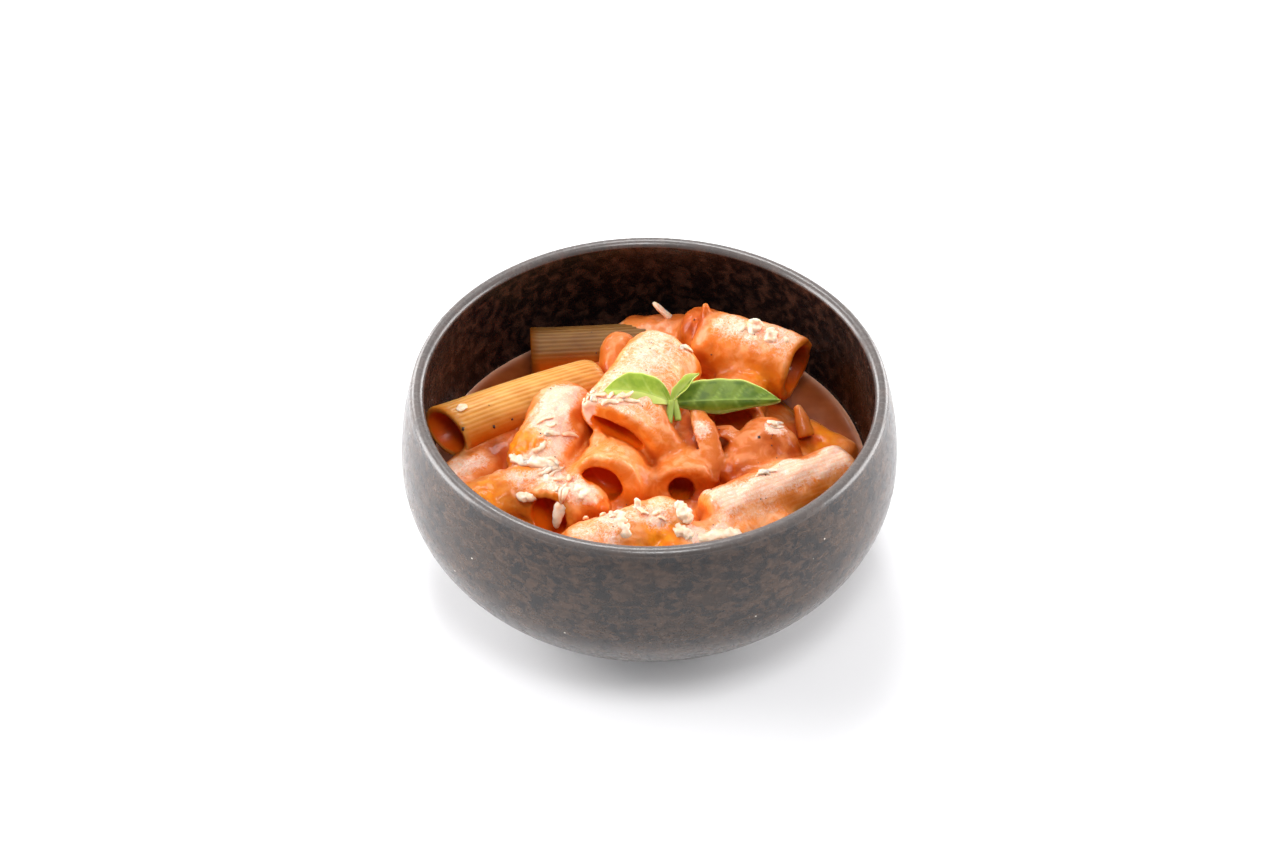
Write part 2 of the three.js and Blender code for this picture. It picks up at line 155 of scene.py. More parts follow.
# Clumps of thin cheese shreds: middle, spread along x and y, how many, and their heading in degrees.
CLUMPS = [
    (-19, -4, 2.2, 5, 12, 80), (-10, -5, 6, 2, 8, 10), (-36, -21, 6, 1.5, 6, 5), (-29, -10, 4, 6, 5, 10),
    (-29.5, -28, 2.5, 2.5, 6, 35), (-20, -31, 4, 4, 3, 60), (-26, -36, 1.2, 3, 4, 85),
    (-12, -50, 4, 4, 4, 70), (2, -50, 4, 3, 4, 20), (35.5, -29.5, 1.5, 0.8, 6, 10), (40, -10, 3, 2, 4, 10),
    (12, 22, 2, 2, 2, 30),
]
SHRED_STEPS, SHRED_SIDES = 7, 8
STEEPEST = 2.2  # that the surface may drop between two steps of a shred

# Basil leaves from the joint to each tip: how far the middle bends up, (width, slope in degrees) of the left
# and right half, and how yellow and bright a green it has, partly its own fresher green and partly painted
# light.
SPRIG_JOINT = (7, -2, 69.5)
LEAVES = [
    dict(tip=(-14.5, -2.5, 74.5), rise=2.5, left=(3.5, -20), right=(7, 20), fresh=1),
    dict(tip=(41, -0.5, 69.5), rise=0.5, left=(9, 10), right=(4, -70), fresh=0),
    dict(tip=(15.5, 7, 74), rise=0.5, left=(3, 50), right=(3, 50), fresh=0.5),
]
STEMS = [
    [(7, -2, 70, 2.6), (6.3, -5.5, 68, 2.4), (6, -8, 66.2, 2.2)],
    [(7.4, -1.5, 70, 2.6), (8.6, -5, 67.8, 2.2), (9, -7, 66.4, 2)],
]

# Lights: place and size in metres, and power in watts.
LIGHTS = [
    ("key", (-0.2, 0.95, 1.85), 0.7, 19), ("left", (-0.8, 0.1, 0.35), 0.6, 11),
    ("right", (0.8, 0.15, 0.2), 0.6, 9), ("back_left", (-0.75, 0.95, 0.45), 0.5, 6),
    ("back_right", (0.85, 0.95, 0.33), 0.5, 6), ("front", (0.1, -0.55, 1.2), 0.4, 7),
]


def oval_radius(oval, height):
    """An oval's radius at a height."""
    reach = np.where(np.asarray(height) > oval["middle"], oval["above"], oval["below"])
    return oval["radius"] * np.sqrt(np.maximum(1 - ((height - oval["middle"]) / reach) ** 2, 0))


def unit(vector):
    return vector / np.linalg.norm(vector)


def smooth_min(first, second, reach):
    """The lower of two distances, with a fillet of about that reach where they meet."""
    blend = np.clip(0.5 + 0.5 * (second - first) / reach, 0, 1)
    return second + (first - second) * blend - reach * blend * (1 - blend)


def bumps(points, size, seed):
    """Smooth random bumps of about that size, from -1 to 1."""
    shift = Vector((17.3 * seed, -9.1 * seed, 5.7 * seed))
    return np.array([noise.noise(Vector(p) + shift) for p in (points / size).tolist()])


def radius_from_axis(points):
    return np.hypot(points[..., 0], points[..., 1])


def turns_round(count):
    return np.linspace(0, 2 * math.pi, count, endpoint=False)


def turned_round(profile, count):
    """Rows of points round the upright axis, one for each (radius, height)."""
    radius, height = np.array(profile, float).T[..., None]
    turn, radius = turns_round(count), np.maximum(radius, 0.01)
    return np.stack([radius * np.cos(turn), radius * np.sin(turn), height + 0 * turn], -1)


def strip_faces(rows, columns):
    """Quads over rows of points, each row closed round."""
    row, column = np.meshgrid(np.arange(rows - 1), np.arange(columns), indexing="ij")
    here, after = row * columns + column, row * columns + (column + 1) % columns
    return np.stack([here, after, after + columns, here + columns], -1).reshape(-1, 4)


def resampled(stations, steps):
    """That many stations, evenly along a list of them."""
    stations = np.array(stations, float)
    fine = np.linspace(0, len(stations) - 1, steps)
    return np.stack([np.interp(fine, range(len(stations)), column) for column in stations.T], 1)


def side_and_lift(path, step, up=UP):
    """The directions across and above a path at one of its points."""
    ahead = unit(path[min(step + 1, len(path) - 1)] - path[max(step - 1, 0)])
    side = unit(np.cross(ahead, up))
    return side, np.cross(side, ahead)


def placed(name, data):
    """A new object in the scene."""
    made = bpy.data.objects.new(name, data)
    bpy.context.scene.collection.objects.link(made)
    return made


def make_piece(name, points, faces, material, slot, **values):
    """A smooth mesh piece on the one body, with named numbers stored at its points."""
    mesh = bpy.data.meshes.new(name)
    mesh.from_pydata((np.asarray(points) * MM).tolist(), [], [list(face) for face in faces])
    for key, numbers in values.items():
        stored = mesh.attributes.new(key, "FLOAT", "POINT")
        stored.data.foreach_set("value", np.asarray(numbers, np.float32))
    mesh.shade_smooth()
    mesh.materials.append(material)
    piece = placed(name, mesh)
    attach(piece, "root")
    return piece


class Gather:
    """Many small meshes gathered into one, with their stored numbers."""

    def __init__(self):
        self.points, self.faces, self.values, self.count = [], [], {}, 0

    def add(self, points, faces, **values):
        points = np.asarray(points).reshape(-1, 3)
        self.points.append(points)
        self.faces += [[self.count + corner for corner in face] for face in faces]
        for key, number in values.items():
            self.values.setdefault(key, []).append(np.broadcast_to(number, len(points)))
        self.count += len(points)

    def piece(self, name, material, slot):
        values = {key: np.concatenate(parts) for key, parts in self.values.items()}
        return make_piece(name, np.concatenate(self.points), self.faces, material, slot, **values)


def tint(shown):
    """A colour given as a screen shows it, from 0 to 255, as the shaders take it."""
    shown = [channel / 255 for channel in shown]
    return (*[((c + 0.055) / 1.055) ** 2.4 if c > 0.04 else c / 12.92 for c in shown], 1)


class Finish:
    """The nodes of a material, or of the surroundings, and short ways to make them.

    A value is a number, another node's output, or the name of a number stored at the points.
    """

    def __init__(self, name, group=bpy.data.materials):
        self.owner = group.new(name)
        self.owner.use_nodes = True
        self.tree = self.owner.node_tree

    def put(self, socket, value):
        if isinstance(value, str):
            value = self.node("Attribute", "Fac", {}, attribute_name=value)
        if isinstance(value, bpy.types.NodeSocket):
            self.tree.links.new(value, socket)
        else:
            socket.default_value = value

    def node(self, kind, output, inputs, **settings):
        made = self.tree.nodes.new("ShaderNode" + kind)
        for key, value in settings.items():
            setattr(made, key, value)
        for key, value in inputs.items():
            self.put(made.inputs[key], value)
        return made.outputs[output]

    def place(self, kind="Object"):
        return self.node("TexCoord", kind, {})

    def grain(self, size, detail=2.0, stretch=(1, 1, 1), swirl=0.0):
        """Noise with features of about size millimetres."""
        place = self.node("Mapping", "Vector", {"Vector": self.place(), "Scale": stretch})
        inputs = {"Vector": place, "Scale": 1 / (size * MM), "Detail": detail, "Distortion": swirl}
        return self.node("TexNoise", "Fac", inputs)

    def dots(self, size, radius):
        """1 inside round dots scattered about size millimetres apart, 0 between them."""
        near = self.node("TexVoronoi", "Distance", {"Vector": self.place(), "Scale": 1 / (size * MM)})
        return self.step(near, radius, radius * 0.6)

    def step(self, value, low, high, at_low=0.0, at_high=1.0):
        """One number at low and another at high, smooth in between."""
        inputs = {"Value": value, "From Min": low, "From Max": high, "To Min": at_low, "To Max": at_high}
        return self.node("MapRange", "Result", inputs, interpolation_type="SMOOTHSTEP")

    def math(self, operation, first, second=0.0):
        return self.node("Math", "Value", {0: first, 1: second}, operation=operation)

    def product(self, first, second):
        return self.math("MULTIPLY", first, second)

    def total(self, first, second):
        return self.math("ADD", first, second)

    def mix(self, share, first, second):
        """Two colours mixed, each another node's or as a screen shows it, from 0 to 255."""
        first, second = [tint(c) if isinstance(c, tuple) else c for c in (first, second)]
        return self.node("Mix", 2, {0: share, 6: first, 7: second}, data_type="RGBA")

    def relief(self, height, distance, under=None):
        inputs = {"Height": height, "Distance": distance * MM}
        if under is not None:
            inputs["Normal"] = under
        return self.node("Bump", "Normal", inputs)

    def done(self, colour, roughness, relief=None, **inputs):
        """Sets the shader's own sockets, named with _ for a space."""
        inputs.update(Base_Color=colour, Roughness=roughness)
        if relief is not None:
            inputs["Normal"] = relief
        for key, value in inputs.items():
            self.put(self.tree.nodes["Principled BSDF"].inputs[key.replace("_", " ")], value)
        return self.owner


def glaze():
    """Brown and grey speckled stoneware glaze, mottled with rust inside."""
    f = Finish("glaze")
    smear = f.grain(2.8, 8, stretch=(0.8, 0.8, 1.3), swirl=1.0)
    dark = f.mix(f.step(f.grain(8, 6, swirl=0.5), 0.4, 0.62), (24, 20, 22), (50, 36, 28))
    outside = f.mix(f.product(f.step(smear, 0.4, 0.7), 0.7), dark, (88, 66, 52))
    rust = f.mix(f.step(f.grain(4, 7, swirl=0.5), 0.42, 0.72), (16, 12, 13), (70, 45, 35))
    inside = f.mix(f.product(f.step(smear, 0.5, 0.75), 0.3), rust, (72, 50, 40))
    colour = f.mix("inside", outside, inside)
    # A paler lip: partly glaze that breaks lighter at the rim, partly a painted reflection of the bright
    # surroundings.
    colour = f.mix(f.product("lip", 0.6), colour, (124, 118, 116))
    colour = f.mix(f.dots(9, 0.04), colour, (225, 218, 205))
    relief = f.relief(f.grain(0.9, 3), 0.03, f.relief(f.grain(9, 2), 0.12))
    rough = f.step(f.grain(2.5, 3), 0.2, 0.9)
    return f.done(
        colour, f.total(f.product(rough, 0.16), 0.2), relief,
        Specular_IOR_Level=0.5, Coat_Weight=0.1, Coat_Roughness=0.1,
    )


def pasta():
    """Cooked pasta, a little see-through: golden, or olive brown on browner pieces, partly their own colour
    and partly painted shade; a painted highlight on the ribs of the upper side, and painted shade on the
    lower side.
    """
    f = Finish("pasta")
    streak = f.step(f.grain(5, 4, stretch=(0.5, 1, 1)), 0.35, 0.7)
    golden = f.mix(streak, (210, 132, 44), (232, 166, 82))
    olive = f.mix(streak, (106, 62, 8), (124, 80, 18))
    # Olive brown on the browner pieces: partly their own colour, partly painted shade on the piece at the
    # back.
    tan = f.mix("tan", golden, olive)
    # Paler rib crests on the upper side: a painted highlight.
    ribbed = f.mix(f.product("rib", 0.4), tan, (250, 204, 140))
    # Deeper orange on the lower side: painted shade.
    low = f.mix("low", ribbed, (206, 98, 8))
    stained = f.mix("stained", low, (224, 92, 14))
    relief = f.relief(f.grain(0.7, 2), 0.03)
    return f.done(
        stained, f.total(0.27, f.product("tan", 0.2)), relief, Specular_IOR_Level=0.22,
        Subsurface_Weight=0.4, Subsurface_Scale=0.004, Subsurface_Radius=(1.0, 0.55, 0.2),
    )


def pink_sauce():
    """Creamy tomato sauce: deeper orange on the sides and in the valleys as painted shade, paler on top as
    painted light and sheen, and with melted cheese.
    """
    f = Finish("pink_sauce")
    curds = f.step(f.grain(4.5, 5, swirl=0.6), 0.42, 0.68)
    # Deeper orange on the sides and paler on the tops that face up: painted shade and painted light.
    side = f.mix(curds, (226, 114, 26), (238, 140, 54))
    top = f.mix(curds, (236, 136, 64), (250, 178, 130))
    thick = f.mix("top", side, top)
    # Browner where a piece or patch is marked dark: partly browner sauce, partly painted shade.
    brown = f.mix(curds, (160, 62, 4), (188, 84, 14))
    thick = f.mix("dark", thick, brown)
    thin = f.mix(f.step(f.grain(3, 3), 0.3, 0.7), (236, 118, 8), (248, 146, 24))
    body = f.mix("thin", thick, thin)
    over_noodle = {"X": f.product("around", 0.2), "Y": f.product("along", 0.9)}
    over_noodle = f.node("CombineXYZ", "Vector", over_noodle)
    strands = {"Vector": over_noodle, "Scale": 1.0, "Detail": 5.0, "Distortion": 0.5}
    strands = f.node("TexNoise", "Fac", strands)
    torn = f.total(f.product(strands, 0.35), f.product(f.grain(2.2, 6, swirl=1.2), 0.35))
    torn = f.total(torn, f.product(f.grain(0.9, 3), 0.3))
    # Pale patches of melted cheese, which on the tops also stand for painted light and sheen.
    ragged = f.step(f.total("cream_and_light", torn), 0.88, 1.16)
    from_vein = f.math("ABSOLUTE", f.total(f.grain(2.0, 3, swirl=1.5), -0.5))
    threads = f.product(f.step(from_vein, 0.05, 0.01), f.step("cream_and_light", 0.25, 0.6))
    # Threads and flecks of cheese only on the tops that face up, as part of the painted light there.
    threads = f.product(threads, "top")
    flecks = f.product(f.step(f.grain(0.9, 2), 0.5, 0.72), "top")
    flecks = f.product(flecks, f.step(f.total("thin", "dark"), 0.6, 0.1))
    flecked = f.mix(f.product(flecks, 0.2), body, (252, 186, 140))
    pale = f.mix(f.product(ragged, 0.8), flecked, (252, 206, 182))
    pale = f.mix(f.product(threads, 0.8), pale, (255, 228, 212))
    # Deeper red orange where the surface is closed in: painted shade.
    deep = f.mix("depth", pale, (186, 66, 8))
    # Inside the open ends: orange sauce painted bright for light that shines through the thin walls, and
    # dark in the hollows of the darker pieces and patches as painted shade.
    hollow = f.mix("dark", (236, 100, 10), (130, 44, 6))
    hollow = f.mix("within", deep, hollow)
    specked = f.mix(f.dots(4.2, 0.035), hollow, (150, 70, 30))
    ribs = f.math("SINE", f.product("around", 2 * math.pi / RIB_PITCH))
    grooves = f.product(f.step(ribs, 0.1, -0.9), "ribbed")
    grooved = f.mix(f.product(grooves, 0.45), specked, (242, 152, 92))
    relief = f.relief(f.product(ribs, "ribbed"), 0.022)
    relief = f.relief(f.total(ragged, threads), 0.08, relief)
    relief = f.relief(f.grain(1.4, 5, swirl=0.6), 0.16, relief)
    return f.done(
        grooved, f.total(f.product(f.grain(3, 3), 0.3), 0.24), relief,
        Subsurface_Weight=0.3, Subsurface_Scale=0.003, Subsurface_Radius=(1.0, 0.5, 0.2),
        Specular_IOR_Level=0.12, Coat_Weight=0.2, Coat_Roughness=0.1,
    )


def pooled_sauce():
    """Thin sauce round the heap, browner than what coats the pasta, paler at its edge: partly a film of
    sauce on the wall, partly a painted highlight where it rises to the wall.
    """
    f = Finish("pooled_sauce")
    cloud = f.mix(f.step(f.grain(9, 3), 0.35, 0.65), (144, 68, 24), (166, 84, 38))
    colour = f.mix("edge", cloud, (236, 180, 150))
    return f.done(
        colour, 0.22, f.relief(f.grain(5, 3), 0.1),
        Subsurface_Weight=0.2, Subsurface_Scale=0.002, Subsurface_Radius=(1.0, 0.4, 0.2),
    )


def melted_cheese():
    """Half melted cheese, orange at its edges and undersides: partly stained by the sauce, partly painted
    shade.
    """
    f = Finish("melted_cheese")
    white = f.mix(f.step(f.grain(2, 3), 0.35, 0.65), (246, 200, 166), (255, 224, 200))
    # Orange at the edges: partly sauce stain, partly painted shade.
    stain = f.product("edge", f.step(f.grain(1.2, 4), 0.25, 0.6))
    colour = f.mix(stain, white, (246, 156, 100))
    return f.done(
        colour, 0.3, f.relief(f.grain(1.1, 4), 0.06),
        Subsurface_Weight=0.6, Subsurface_Scale=0.0015, Subsurface_Radius=(1.0, 0.8, 0.6),
    )


def basil_leaf():
    """Basil: green, or a brighter yellow green on some leaves, partly their own fresher green and partly
    painted light, with paler veins and edges.
    """
    f = Finish("basil_leaf")
    patches = f.step(f.grain(4, 3), 0.35, 0.65)
    deep = f.mix(patches, (76, 100, 24), (106, 126, 38))
    # Brighter yellow green on some leaves: partly their own fresher green, partly painted light.
    fresh = f.mix(patches, (126, 150, 42), (156, 170, 62))
    blade = f.mix("fresh", deep, fresh)
    veined = f.mix(f.product("vein", 0.35), blade, (176, 196, 98))
    pale = f.mix("pale", veined, (204, 212, 118))
    relief = f.relief(f.grain(0.8, 3), 0.04, f.relief("vein", 0.12))
    return f.done(
        pale, 0.42, relief, Specular_IOR_Level=0.2,
        Subsurface_Weight=0.3, Subsurface_Scale=0.002, Subsurface_Radius=(0.5, 1.0, 0.2),
    )


def black_pepper():
    """Ground pepper, brown to nearly black."""
    f = Finish("black_pepper")
    colour = f.mix(f.grain(0.4), (34, 22, 16), (78, 48, 32))
    return f.done(colour, 0.6)


def oval_curve(oval, steps, first, last):
    """Points (radius, height) on an oval from one height to another."""
    turns = []
    for height in (first, last):
        reach = oval["above"] if height > oval["middle"] else oval["below"]
        turns.append(math.asin((height - oval["middle"]) / reach))
    turns = np.linspace(*turns, steps)
    reach = np.where(turns > 0, oval["above"], oval["below"])
    return np.stack([oval["radius"] * np.cos(turns), oval["middle"] + reach * np.sin(turns)], 1)


def bowl():
    """The bowl turned from one profile, with stored shares for its inside and its lip."""
    around, wall_steps, lip_steps = 256, 60, 23
    bevel, fillet, step, drop = 0.5, 0.6, 0.4, 0.3
    inner, outer, height, recess = FOOT["inner"], FOOT["outer"], FOOT["height"], FOOT["recess"]
    foot = [
        (0, recess), (inner - fillet, recess), (inner, recess - fillet), (inner, bevel), (inner + bevel, 0),
        (outer - bevel, 0), (outer, bevel), (outer, height - drop), (outer + step, height),
    ]
    outside = oval_curve(OUTER, wall_steps, height + step, WALL_TOP)
    within = oval_curve(INNER, wall_steps, WALL_TOP, INNER["middle"] - INNER["below"])
    edges = within[0, 0], outside[-1, 0]
    over = np.radians(np.linspace(0, 180, lip_steps + 2))[1:-1]
    lip_radius = (edges[0] + edges[1]) / 2 + (edges[1] - edges[0]) / 2 * np.cos(over)
    lip = np.stack([lip_radius, WALL_TOP + LIP_HEIGHT * np.sin(over)], 1)
    profile = np.concatenate([foot, outside, lip, within])
    below, above = np.zeros(len(foot) + wall_steps), np.ones(wall_steps)
    inside = np.concatenate([below, np.linspace(0, 1, lip_steps), above])
    # How pale the lip is painted, partly for a lighter glaze and partly as a painted reflection.
    lip_share = np.concatenate([below, np.sin(np.linspace(0, math.pi, lip_steps)) ** 0.5, 0 * above])
    points = turned_round(profile, around)
    piece = make_piece(
        "bowl", points.reshape(-1, 3), strip_faces(len(profile), around), glaze(), "stoneware",
        inside=np.repeat(inside, around), lip=np.repeat(lip_share, around),
    )
    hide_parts("bowl")


def outside_oval(across, above, half_width, half_height):
    """About how far points lie outside an oval, below 0 inside it."""
    scaled = np.hypot(across / half_width, above / half_height) + 1e-9
    steep = np.hypot(across / half_width**2, above / half_height**2) + 1e-9
    return scaled * (scaled - 1) / steep


def rounded(side, end, radius):
    """The distance outside the edge where a side and an end meet in that radius."""
    beyond = np.hypot(np.maximum(side + radius, 0), np.maximum(end + radius, 0))
    return beyond + np.minimum(np.maximum(side, end) + radius, 0) - radius


class Noodle:
    """One rigatoni, as most of them are in all that isn't given."""

    rise = twist = slant = ribs = dark = 0
    coat, cream_and_light, lumps = COAT, 0.3, 0.1
    opens = mouth = None

    def __init__(self, start, end, width, height, **more):
        self.ends, self.start = (start, end), np.array(start, float)
        self.width, self.end_width = width, width
        self.height, self.end_height = height, height
        whole = np.array(end, float) - self.start
        self.length, self.along = np.linalg.norm(whole), unit(whole)
        self.hollow = min(BORE_DEPTH, LONGEST_BORE * self.length)
        vars(self).update(more)
        self.bare = self.coat == BARE
        level = unit(np.cross(self.along, UP))
        upright = np.cross(level, self.along)
        turn = math.radians(self.twist)
        self.across = level * math.cos(turn) - upright * math.sin(turn)
        self.above = upright * math.cos(turn) + level * math.sin(turn)

    def from_mouth(self, place):
        return place if self.opens == "start" else self.length - place

    def half_sizes(self, place):
        """Half the width and height at places along it; open ends flare a little."""
        share = np.clip(place / self.length, 0, 1)
        flare = 1.0
        if self.opens:
            flare = 1 + FLARE * np.exp(-self.from_mouth(share * self.length) / FLARE_LENGTH)
        width = self.width + share * (self.end_width - self.width)
        height = self.height + share * (self.end_height - self.height)
        return width / 2 * flare, height / 2 * flare

    def bend_at(self, place):
        """How far above a straight line its axis lies."""
        share = np.clip(place / self.length, 0, 1)
        return 4 * self.rise * (share * (1 - share))

    def where(self, points):
        """How far along it points lie, and how far across and above its bent axis."""
        offset = points - self.start
        place = offset @ self.along
        offset = offset - self.bend_at(place)[..., None] * UP
        aside = offset @ self.across
        cut_back = self.slant * np.exp(-np.clip(self.from_mouth(place), 0, None) / SLANT_LENGTH)
        cut_back = cut_back * np.clip(aside / (self.width / 2), -1, 1)
        place = place + cut_back if self.opens == "end" else place - cut_back
        return place, aside, offset @ self.above

    def outside(self, points):
        """How far points lie outside its skin; closed ends are rounded."""
        place, across, above = self.where(points)
        side = outside_oval(across, above, *self.half_sizes(place))
        half = self.length / 2
        open_half = {"start": place < half, "end": place >= half}.get(self.opens, False)
        radius = np.where(open_half, CUT_EDGE, END_ROUNDING)
        bulge = np.where(open_half, 0, END_BULGE)
        return rounded(side, np.abs(place - half) - half - bulge, radius)

    def outside_bore(self, points):
        """How far points lie outside the hollow in its open end."""
        place, across, above = self.where(points)
        from_mouth = self.from_mouth(place)
        wall = NOODLE_WALL + (BARE_BORE if self.bare else BORE_COAT)
        half_width, half_height = self.half_sizes(place)
        fitting = (half_width - wall, half_height - wall, 0, 0)
        half_width, half_height, aside, up = self.mouth or fitting
        side = outside_oval(across - aside, above - up, half_width, half_height)
        reach_out = 2.5  # so that nothing is left standing in front of the mouth
        end = np.maximum(from_mouth - self.hollow, -reach_out - from_mouth)
        return rounded(side, end, BORE_ROUNDING)


# Each piece from its start to its end, given by the middle of the tube there, and its width and height. A
# piece that widens has the end's width and height too. rise is how far its middle bends up, and twist turns
# it about its own length, in degrees.
# opens names the open end, and hollow is how deep that end is before sauce fills it. mouth gives half the
# width and height of a hollow that sauce has narrowed, and how far its middle lies across and above.
# slant is how far the open end is cut back on the side towards the viewer.
# coat is how thick the sauce on it is. cream and lumps say how much melted cheese is in that sauce, and
# cream also how much painted light and sheen pale its tops; ribs how much they show through it, dark how
# much browner it is, partly browner sauce and partly painted shade, and tan how much browner bare pasta is,
# partly its own browner colour and partly painted shade, all from 0 to 1.
NOODLES = [
    # On the left, against the wall.
    Noodle((-64, -3, 57.5), (-17, 22, 56), 17.5, 17, rise=1, opens="start", hollow=10, coat=BARE,
           cream_and_light=0.2, lumps=0, tan=0.15, slant=3),
    Noodle((-63, -21, 46), (-38, 4, 48), 17, 16, cream_and_light=0.6),
    Noodle((-35, -19, 57), (-24, 10, 58), 20, 16, rise=1, cream_and_light=0.8, lumps=0.6),
    Noodle((-57, -32, 51), (-28, -22, 56), 17, 15, cream_and_light=0.65, lumps=0.4, coat=0.4, ribs=0.4),
    # At the front, close behind the rim.
    Noodle((-30, -38, 55), (-16, -12, 50), 17, 16, twist=-25, opens="start", hollow=9,
           mouth=(6.3, 6.2, -0.6, -0.3), cream_and_light=0.6, lumps=0.7),
    Noodle((-20, -39, 56), (-19, -17, 50), 14, 17, cream_and_light=0.75, lumps=0.8),
    Noodle((-22, -58, 56), (8, -44, 57), 18, 19, cream_and_light=0.5, lumps=0.5),
    Noodle((4, -56, 54), (42, -41, 50), 17, 17, lumps=0.3),
    Noodle((19, -41, 56), (61, -17, 54), 17.5, 18, rise=1, coat=0.15, cream_and_light=0.8, lumps=0.2, ribs=0.8),
    # In the middle: a wide flattened one on top, and two that open towards the front below it.
    Noodle((-9, -11, 66.5), (6, 26, 65), 26, 12, end_width=23, end_height=15, rise=1, twist=18,
           opens="start", hollow=10, mouth=(9.3, 2.7, 0, -1.2), cream_and_light=0.58, lumps=0.3),
    Noodle((-13, -29.5, 60), (-1, 23, 42), 20, 17, twist=15, opens="start", hollow=9,
           mouth=(7, 5.4, -1.6, -0.4), cream_and_light=0.4, lumps=0.2),
    Noodle((10.5, -26.5, 55), (9, 18, 50), 17.5, 15.5, twist=-8, opens="start", hollow=10,
           mouth=(4.1, 5.6, -0.2, 0), cream_and_light=0.2, coat=1.0, dark=0.3),
    # On the right.
    Noodle((27, -21.5, 52), (40, -6, 58), 20, 18, lumps=0.2, coat=0.9, dark=0.6),
    Noodle((26.5, 2.5, 58), (33, 48, 48), 17, 15, opens="start", hollow=3, cream_and_light=0.2, dark=0.5),
    Noodle((48, 14, 40), (63, 3, 38), 15, 16, cream_and_light=0.2, coat=0.1, dark=0.4),
    # At the back.
    Noodle((18, 38.5, 60), (46.6, 27.5, 58), 19.5, 19.5, rise=1, opens="end", cream_and_light=0.55, lumps=0.2,
           slant=1.5),
    Noodle((13, 47, 57), (38, 40, 54), 16, 16, cream_and_light=0.1, dark=0.9),
    Noodle((-10, 23, 50), (-10, 40, 58), 10.5, 11, cream_and_light=0.1, dark=0.4),
    Noodle((-8, 56, 44), (17, 51, 47), 17, 16, rise=1.5, cream_and_light=0.1, dark=1),
    Noodle((-39, 48, 46), (13, 51, 47), 17, 17, opens="start", coat=BARE, cream_and_light=0, tan=1),
]


def outside_band(thickness, stations, points):
    """How far points lie outside a torn strip."""
    nearest = np.full(points.shape[:-1], np.inf)
    for first, second in itertools.pairwise(np.array(stations, float)):
        change = second - first
        length, along = np.linalg.norm(change[:3]), unit(change[:3])
        across = unit(np.cross(along, UP))
        offset = points - first[:3]
        share = np.clip(offset @ along / length, 0, 1)
        offset = offset - share[..., None] * change[:3]
        half_width = (first[3] + share * change[3]) / 2
        side = outside_oval(offset @ across, offset @ np.cross(across, along), half_width, thickness / 2)
        nearest = np.minimum(nearest, rounded(side, np.abs(offset @ along), TORN_EDGE))
    return nearest


class Field:
    """Distances outside the sauced heap, on a lattice of points."""

    cell = 0.7
    low = np.array([-73.0, -71.0, 36.0])
    shape = (208, 203, 63)
    far = 6.0  # what a point with nothing near it holds

    def __init__(self):
        self.axes = [low + self.cell * np.arange(count) for low, count in zip(self.low, self.shape)]
        self.values = np.full(self.shape, self.far, np.float32)

    def part(self, low, high):
        """The slices between two corners and the points in them."""
        first = np.clip(np.floor((low - self.low) / self.cell).astype(int), 0, self.shape)
        last = np.clip(np.ceil((high - self.low) / self.cell).astype(int) + 1, 0, self.shape)
        slices = tuple(slice(a, b) for a, b in zip(first, last))
        axes = [axis[slices[i]] for i, axis in enumerate(self.axes)]
        return slices, np.stack(np.meshgrid(*axes, indexing="ij"), -1)

    def round_about(self, corners, margin):
        return self.part(np.min(corners, 0) - margin, np.max(corners, 0) + margin)

    def at(self, points):
        """The distance at any points, read between the lattice's."""
        spot = np.clip((points - self.low) / self.cell, 0, np.array(self.shape) - 1.001)
        low = np.floor(spot).astype(int)
        share = spot - low
        total = 0
        for corner in itertools.product((0, 1), repeat=3):
            weight = np.prod(np.where(corner, share, 1 - share), axis=1)
            total = total + weight * self.values[tuple((low + corner).T)]
        return total

    def surface(self):
        """Points and quads where the distance is 0."""
        grid = openvdb.FloatGrid(self.far)
        grid.copyFromArray(np.clip(self.values, -self.far, self.far))
        points, quads = grid.convertToQuads(0.0)
        return points * self.cell + self.low, quads.astype(int)


def uneven(points):
    """Points moved about a third of a millimetre along slow waves, so that nothing coated is quite even."""
    x, y, z = points[..., 0], points[..., 1], points[..., 2]
    waves = [
        np.sin(0.31 * y + 0.17 * z + 1.1) + 0.5 * np.sin(0.83 * z - 0.41 * y),
        np.sin(0.27 * x - 0.23 * z + 2.3) + 0.5 * np.sin(0.71 * x + 0.52 * z),
        np.sin(0.29 * x + 0.33 * y) + 0.5 * np.sin(0.62 * y - 0.77 * x + 0.9),
    ]
    return points + 0.3 * np.stack(waves, -1)


def waved(noodle, points):
    """The points made uneven for a coated noodle, and as they are for a bare one."""
    return points if noodle.bare else uneven(points)


